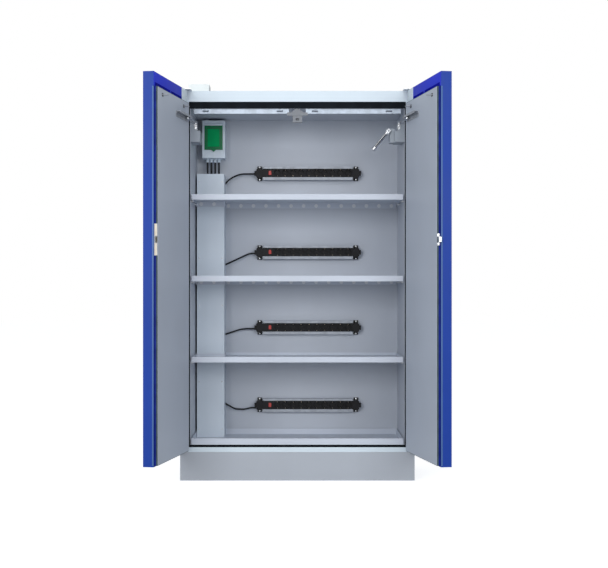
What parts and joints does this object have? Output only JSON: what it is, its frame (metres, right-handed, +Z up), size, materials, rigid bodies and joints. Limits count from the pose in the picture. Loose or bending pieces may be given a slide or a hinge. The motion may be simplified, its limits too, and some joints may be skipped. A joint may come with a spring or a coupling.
{
  "type": "battery charging cabinet",
  "caption": "Fire-rated steel cabinet for charging batteries, with two insulated swing doors, shelves over a sump tray, socket strips on the back wall and a breaker box.",
  "frame": {"origin": "on the floor under the middle of the closed cabinet, at the underside of the plinth", "axes": "+Z up, the doors are on the -Y side, +X to the right seen from the front"},
  "size_m": [1.4282, 1.175, 2.076],
  "materials": {
    "body_paint": "satin powder coat",
    "door_paint": "satin powder coat",
    "inner_paint": "satin powder coat",
    "liner_paint": "satin powder coat",
    "shelf_paint": "satin powder coat",
    "duct_paint": "satin powder coat",
    "board": "matt",
    "seal": "matt",
    "zinc": "bright zinc",
    "alu": "satin anodised",
    "black_plastic": "fine grain",
    "buffer_plastic": "matt",
    "box_plastic": "satin",
    "green_lid": "gloss",
    "rocker_red": "gloss",
    "toggle_black": "satin",
    "breaker_case": "satin",
    "cable": "matt"
  },
  "bodies": {
    "cabinet": {"plinth": "body_paint", "skin_left": "body_paint", "skin_right": "body_paint", "skin_back": "body_paint", "roof": "body_paint", "base_pan": "body_paint", "insulation": "board", "liner_left": "liner_paint", "liner_right": "liner_paint", "liner_back": "liner_paint", "liner_top": "liner_paint", "liner_floor": "liner_paint", "opening_seal": "seal", "sump_tray": "shelf_paint", "shelf_bottom": "shelf_paint", "shelf_middle": "shelf_paint", "shelf_top": "shelf_paint", "shelf_buffers": "buffer_plastic", "shelf_studs": "zinc", "strip_leads": "cable", "cable_duct": "duct_paint", "conduit": "box_plastic", "breaker_box": "box_plastic", "feeder_cables": "cable", "breakers": "breaker_case", "din_rail": "zinc", "strip_profiles": "alu", "strip_blocks": "black_plastic", "strip_caps": "black_plastic", "closer_rails": "zinc", "closer_keeper": "box_plastic", "hinge_brackets": "zinc", "closer_housings": "body_paint", "roof_housing": "body_paint", "mains_gland": "box_plastic"},
    "door_left": {"door_left_shell": "door_paint", "door_left_core": "board", "door_left_panel": "inner_paint", "door_left_seal": "seal", "door_left_fittings": "zinc"},
    "door_right": {"door_right_shell": "door_paint", "door_right_core": "board", "door_right_panel": "inner_paint", "door_right_seal": "seal", "door_right_fittings": "zinc", "lock_plate": "zinc"},
    "lock_cylinder": {"lock_cylinder": "zinc"},
    "latch_bolt": {"latch_bolt": "zinc"},
    "closer_arm_left": {"closer_arm_left": "zinc"},
    "closer_arm_right": {"closer_arm_right": "zinc"},
    "sequence_lever": {"sequence_lever": "zinc"},
    "breaker_lid": {"breaker_lid": "green_lid"},
    "breaker_toggle_1": {"breaker_toggle_1": "toggle_black"},
    "rocker_1": {"rocker_1": "rocker_red"},
    "breaker_toggle_2": {"breaker_toggle_2": "toggle_black"},
    "rocker_2": {"rocker_2": "rocker_red"},
    "breaker_toggle_3": {"breaker_toggle_3": "toggle_black"},
    "rocker_3": {"rocker_3": "rocker_red"},
    "breaker_toggle_4": {"breaker_toggle_4": "toggle_black"},
    "rocker_4": {"rocker_4": "rocker_red"}
  },
  "joints": [
    {"name": "door_left_hinge", "type": "hinge", "parent": "cabinet", "child": "door_left", "pos_m": [-0.586, -0.272, 1.069], "axis": [0, 0, 1], "range_deg": [0, 100]},
    {"name": "door_right_hinge", "type": "hinge", "parent": "cabinet", "child": "door_right", "pos_m": [0.586, -0.272, 1.069], "axis": [0, 0, 1], "range_deg": [-100, 0]},
    {"name": "closer_arm_left_pivot", "type": "hinge", "parent": "cabinet", "child": "closer_arm_left", "pos_m": [-0.521, -0.206, 1.828], "axis": [0, 0, 1], "range_deg": [0, 95.5]},
    {"name": "closer_arm_right_pivot", "type": "hinge", "parent": "cabinet", "child": "closer_arm_right", "pos_m": [0.521, -0.206, 1.828], "axis": [0, 0, 1], "range_deg": [-95.5, 0]},
    {"name": "sequence_lever_pivot", "type": "hinge", "parent": "cabinet", "child": "sequence_lever", "pos_m": [0.468, -0.2, 1.788], "axis": [0, 1, 0], "range_deg": [0, 40]},
    {"name": "lock_turn", "type": "hinge", "parent": "door_right", "child": "lock_cylinder", "pos_m": [0.70193, -0.77399, 1.206], "axis": [0.9848, 0.1736, 0], "range_deg": [0, 90]},
    {"name": "latch_slide", "type": "slide", "parent": "door_right", "child": "latch_bolt", "axis": [-0.1736, 0.9848, 0], "range_m": [0, 0.03]},
    {"name": "breaker_lid_hinge", "type": "hinge", "parent": "cabinet", "child": "breaker_lid", "pos_m": [-0.451, 0.139, 1.863], "axis": [-1, 0, 0], "range_deg": [0, 95]},
    {"name": "toggle_1", "type": "hinge", "parent": "cabinet", "child": "breaker_toggle_1", "pos_m": [-0.47725, 0.1525, 1.792], "axis": [1, 0, 0], "range_deg": [0, 70]},
    {"name": "toggle_2", "type": "hinge", "parent": "cabinet", "child": "breaker_toggle_2", "pos_m": [-0.45975, 0.1525, 1.792], "axis": [1, 0, 0], "range_deg": [0, 70]},
    {"name": "toggle_3", "type": "hinge", "parent": "cabinet", "child": "breaker_toggle_3", "pos_m": [-0.44225, 0.1525, 1.792], "axis": [1, 0, 0], "range_deg": [0, 70]},
    {"name": "toggle_4", "type": "hinge", "parent": "cabinet", "child": "breaker_toggle_4", "pos_m": [-0.42475, 0.1525, 1.792], "axis": [1, 0, 0], "range_deg": [0, 70]},
    {"name": "rocker_1_pivot", "type": "hinge", "parent": "cabinet", "child": "rocker_1", "pos_m": [-0.149, 0.216, 0.34641], "axis": [1, 0, 0], "range_deg": [0, 14]},
    {"name": "rocker_2_pivot", "type": "hinge", "parent": "cabinet", "child": "rocker_2", "pos_m": [-0.149, 0.216, 0.76891], "axis": [1, 0, 0], "range_deg": [0, 14]},
    {"name": "rocker_3_pivot", "type": "hinge", "parent": "cabinet", "child": "rocker_3", "pos_m": [-0.149, 0.216, 1.17856], "axis": [1, 0, 0], "range_deg": [0, 14]},
    {"name": "rocker_4_pivot", "type": "hinge", "parent": "cabinet", "child": "rocker_4", "pos_m": [-0.149, 0.216, 1.6089], "axis": [1, 0, 0], "range_deg": [0, 14]}
  ],
  "couplings": [
    {"joint": "closer_arm_left_pivot", "follows": "door_left_hinge", "ratio": 0.955},
    {"joint": "closer_arm_right_pivot", "follows": "door_right_hinge", "ratio": 0.955},
    {"joint": "lock_turn", "follows": "latch_slide", "rad_per_m": 52.358}
  ]
}
